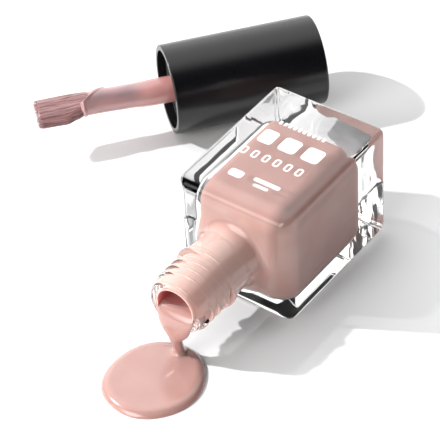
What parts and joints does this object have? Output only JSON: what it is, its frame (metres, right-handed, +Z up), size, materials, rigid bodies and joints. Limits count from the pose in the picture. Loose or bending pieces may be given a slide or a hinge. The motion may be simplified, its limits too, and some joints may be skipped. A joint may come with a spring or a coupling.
{
  "type": "nail polish bottle",
  "caption": "Square clear-glass nail polish bottle lying open on its back, pouring polish into a puddle, with its round screw cap and flat brush beside it.",
  "frame": {"origin": "centre of the flat face that the bottle lies on", "axes": "+Z up out of the table towards the printed front, +Y along the bottle from its mouth to its base, +X across the bottle"},
  "size_m": [0.0827, 0.1127, 0.0282],
  "materials": {
    "glass": "clear, fire-polished gloss",
    "polish": "wet gloss, opaque dusty pink",
    "ink": "opaque white screen ink",
    "cap_plastic": "satin black",
    "insert_plastic": "moulded black, half gloss",
    "liner_foam": "white polyethylene foam",
    "stem_plastic": "natural polyethylene",
    "staple_metal": "stamped bright steel",
    "filament": "nylon filaments wet with polish"
  },
  "bodies": {
    "bottle": {"glass_bottle": "glass", "polish_fill": "polish", "polish_puddle": "polish", "polish_stream": "polish", "print_title": "ink", "print_subtitle": "ink", "print_footer": "ink", "print_emblem": "ink"},
    "liner": {"cap_liner": "liner_foam"},
    "cap": {"cap_shell": "cap_plastic", "cap_insert": "insert_plastic", "brush_stem": "stem_plastic", "stem_polish_coat": "polish", "tuft_staple": "staple_metal", "tuft_root": "filament"},
    "bristles": {"bristle_tuft": "filament"}
  },
  "joints": [
    {"name": "cap_lift", "type": "slide", "parent": "bottle", "child": "liner", "axis": [0, 0, 1], "range_m": [0, 0.06]},
    {"name": "cap_twist", "type": "hinge", "parent": "liner", "child": "cap", "pos_m": [-0.0469, 0.0214, 0.0103], "axis": [0.6266, 0.7793, 0], "continuous": true},
    {"name": "bristle_flex", "type": "hinge", "parent": "cap", "child": "bristles", "pos_m": [-0.05928, 0.00601, 0.0103], "axis": [0.7174, -0.5768, -0.3907], "range_deg": [-25, 25], "stiffness_Nm_per_rad": 0.004}
  ]
}
